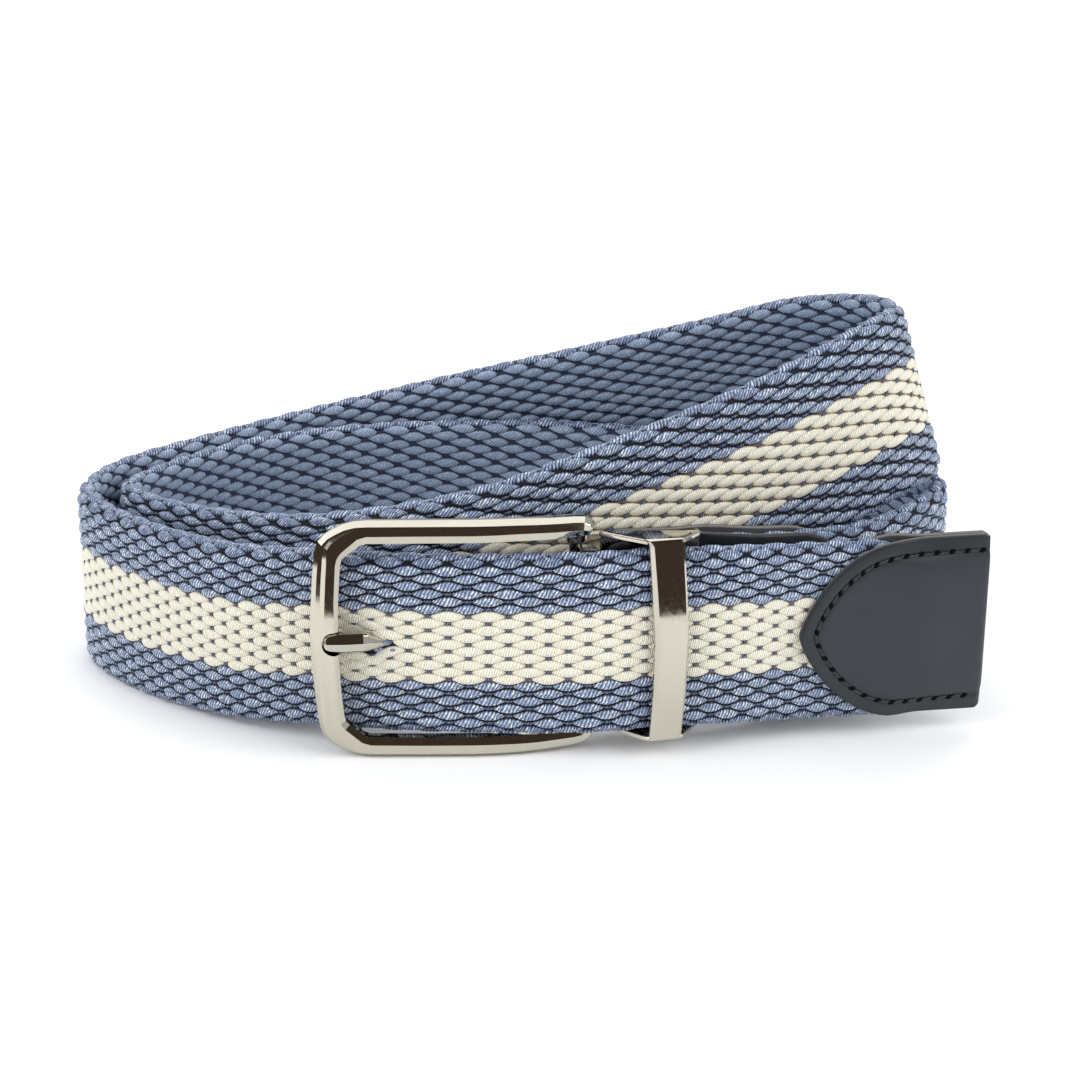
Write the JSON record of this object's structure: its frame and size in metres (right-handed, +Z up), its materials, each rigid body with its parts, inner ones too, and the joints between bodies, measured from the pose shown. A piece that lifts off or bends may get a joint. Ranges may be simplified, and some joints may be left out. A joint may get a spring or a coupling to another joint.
{
  "type": "reversible belt",
  "caption": "Braided stretch belt lying coiled on its edge, fastened: striped outer face, leather ends, polished frame buckle with prong, swivel bar, clamp and keeper loop.",
  "frame": {"origin": "middle of the footprint, on the surface that the belt stands on", "axes": "+X along the front strap towards the free leather tip, +Y away from the buckle's front, +Z up"},
  "size_m": [0.1751, 0.0987, 0.0707],
  "materials": {
    "braid": "braided cord, matt with a slight sheen",
    "leather": "smooth, satin",
    "metal": "polished, warm grey"
  },
  "bodies": {
    "root": {"strap": "braid", "tip_leather": "leather", "chape_leather": "leather", "buckle_frame": "metal", "prong": "metal", "swivel_bar": "metal", "keeper_clamp": "metal"}
  },
  "joints": []
}
